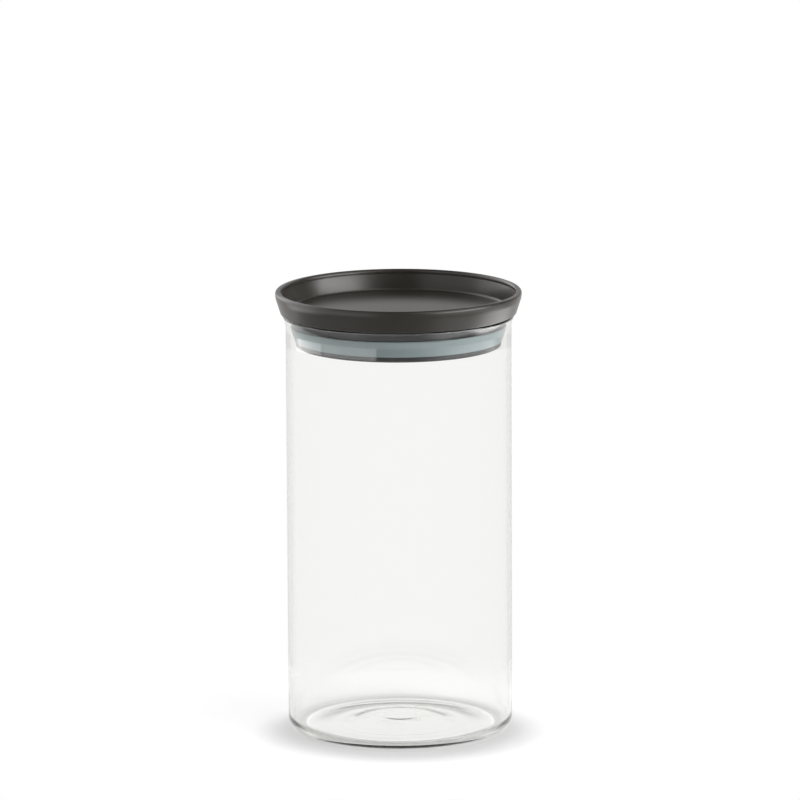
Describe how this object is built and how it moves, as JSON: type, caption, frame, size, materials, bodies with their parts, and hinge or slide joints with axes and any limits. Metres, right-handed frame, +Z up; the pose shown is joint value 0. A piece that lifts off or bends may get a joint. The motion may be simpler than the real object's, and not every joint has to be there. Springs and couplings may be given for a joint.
{
  "type": "lidded glass canister",
  "caption": "Round glass storage jar with a flared mouth, closed by a push-fit plastic lid whose lip seal grips the glass and whose dished top takes a second jar.",
  "frame": {"origin": "centre of the ring that the jar rests on, at the bottom of the glass", "axes": "+Z up along the jar's axis; the object is round, so X and Y are free"},
  "size_m": [0.103, 0.103, 0.1866],
  "materials": {
    "jar_glass": "clear polished borosilicate glass",
    "lid_plastic": "fine satin moulded plastic, warm dark grey",
    "plug_plastic": "smooth satin moulded plastic, dark grey",
    "seal_silicone": "translucent smooth silicone, grey-blue over the dark plug"
  },
  "bodies": {
    "jar": {"glass_jar": "jar_glass"},
    "lid": {"lid_tray": "lid_plastic", "lid_plug": "plug_plastic", "seal_ring": "seal_silicone"}
  },
  "joints": [
    {"name": "lid_lift", "type": "slide", "parent": "jar", "child": "lid", "axis": [0, 0, 1], "range_m": [0, 0.08]}
  ]
}
